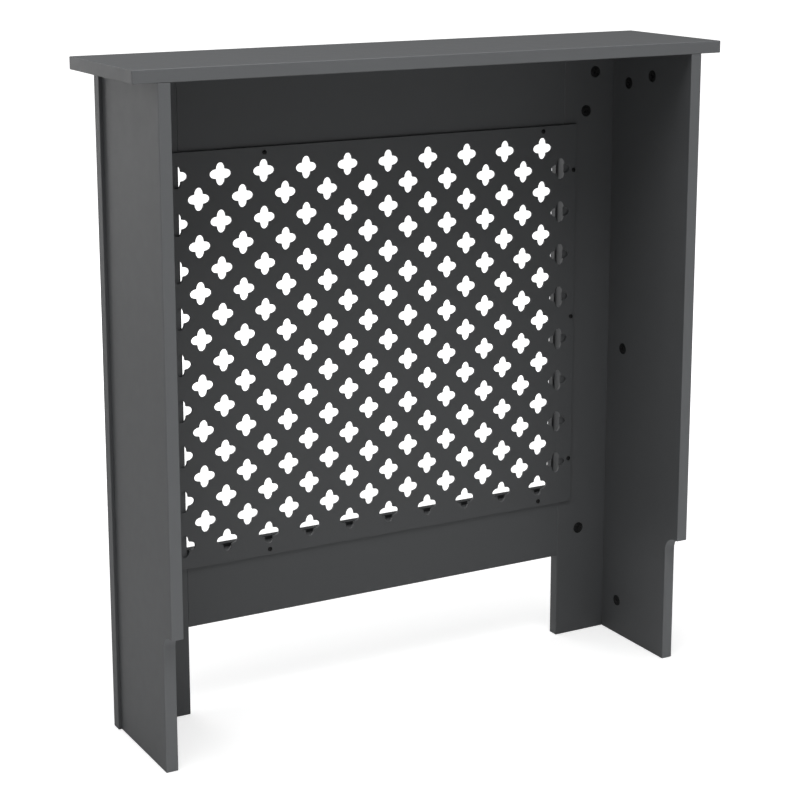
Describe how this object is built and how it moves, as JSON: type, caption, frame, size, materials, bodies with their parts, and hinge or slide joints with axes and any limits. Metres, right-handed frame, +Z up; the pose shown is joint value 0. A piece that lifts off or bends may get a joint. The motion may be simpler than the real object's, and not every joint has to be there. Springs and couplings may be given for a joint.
{
  "type": "radiator cover cabinet",
  "caption": "Free-standing radiator cover: a shallow painted board case, open at the back, with a pierced grille screwed behind its front frame.",
  "frame": {"origin": "on the floor under the middle of the top board, which is the middle of the whole object seen from above", "axes": "+Z up, the front faces -Y and the open back faces the wall at +Y, +X is right as seen from the front"},
  "size_m": [0.78, 0.19, 0.815],
  "materials": {
    "painted_board": "satin dark grey paint on fibreboard",
    "painted_sheet": "satin dark grey paint on thin hardboard",
    "cam_metal": "black coated cast zinc",
    "black_steel": "black coated steel",
    "zinc_steel": "zinc plated steel",
    "beech": "raw beech"
  },
  "bodies": {
    "root": {"top_board": "painted_board", "side_panel_left": "painted_board", "side_panel_right": "painted_board", "stile_left": "painted_board", "stile_right": "painted_board", "top_rail": "painted_board", "bottom_rail": "painted_board", "window_trim_left": "painted_board", "window_trim_right": "painted_board", "window_trim_bottom": "painted_board", "window_trim_top": "painted_board", "grille_panel": "painted_sheet", "cam_side_left_low": "cam_metal", "cam_side_left_mid": "cam_metal", "cam_side_left_high": "cam_metal", "cam_side_left_top": "cam_metal", "cam_side_right_low": "cam_metal", "cam_side_right_mid": "cam_metal", "cam_side_right_high": "cam_metal", "cam_side_right_top": "cam_metal", "cam_stile_left_top": "cam_metal", "cam_stile_right_top": "cam_metal", "cam_bottom_rail_left": "cam_metal", "cam_bottom_rail_right": "cam_metal", "cam_top_rail_left": "cam_metal", "cam_top_rail_right": "cam_metal", "bolt_side_left_low": "zinc_steel", "bolt_side_left_mid": "zinc_steel", "bolt_side_left_high": "zinc_steel", "bolt_side_left_top": "zinc_steel", "bolt_side_right_low": "zinc_steel", "bolt_side_right_mid": "zinc_steel", "bolt_side_right_high": "zinc_steel", "bolt_side_right_top": "zinc_steel", "bolt_stile_left_top": "zinc_steel", "bolt_stile_right_top": "zinc_steel", "bolt_bottom_rail_left": "zinc_steel", "bolt_bottom_rail_right": "zinc_steel", "bolt_top_rail_left": "zinc_steel", "bolt_top_rail_right": "zinc_steel", "dowel_side_left_low": "beech", "dowel_side_left_high": "beech", "dowel_side_left_top": "beech", "dowel_side_right_low": "beech", "dowel_side_right_high": "beech", "dowel_side_right_top": "beech", "dowel_bottom_rail_left": "beech", "dowel_bottom_rail_right": "beech", "dowel_top_rail_left": "beech", "dowel_top_rail_right": "beech", "grille_screw_left_low": "black_steel", "grille_screw_left_mid": "black_steel", "grille_screw_left_high": "black_steel", "grille_screw_right_low": "black_steel", "grille_screw_right_mid": "black_steel", "grille_screw_right_high": "black_steel", "grille_screw_top_left": "black_steel", "grille_screw_top_right": "black_steel", "grille_screw_bottom_left": "black_steel", "grille_screw_bottom_right": "black_steel"}
  },
  "joints": []
}
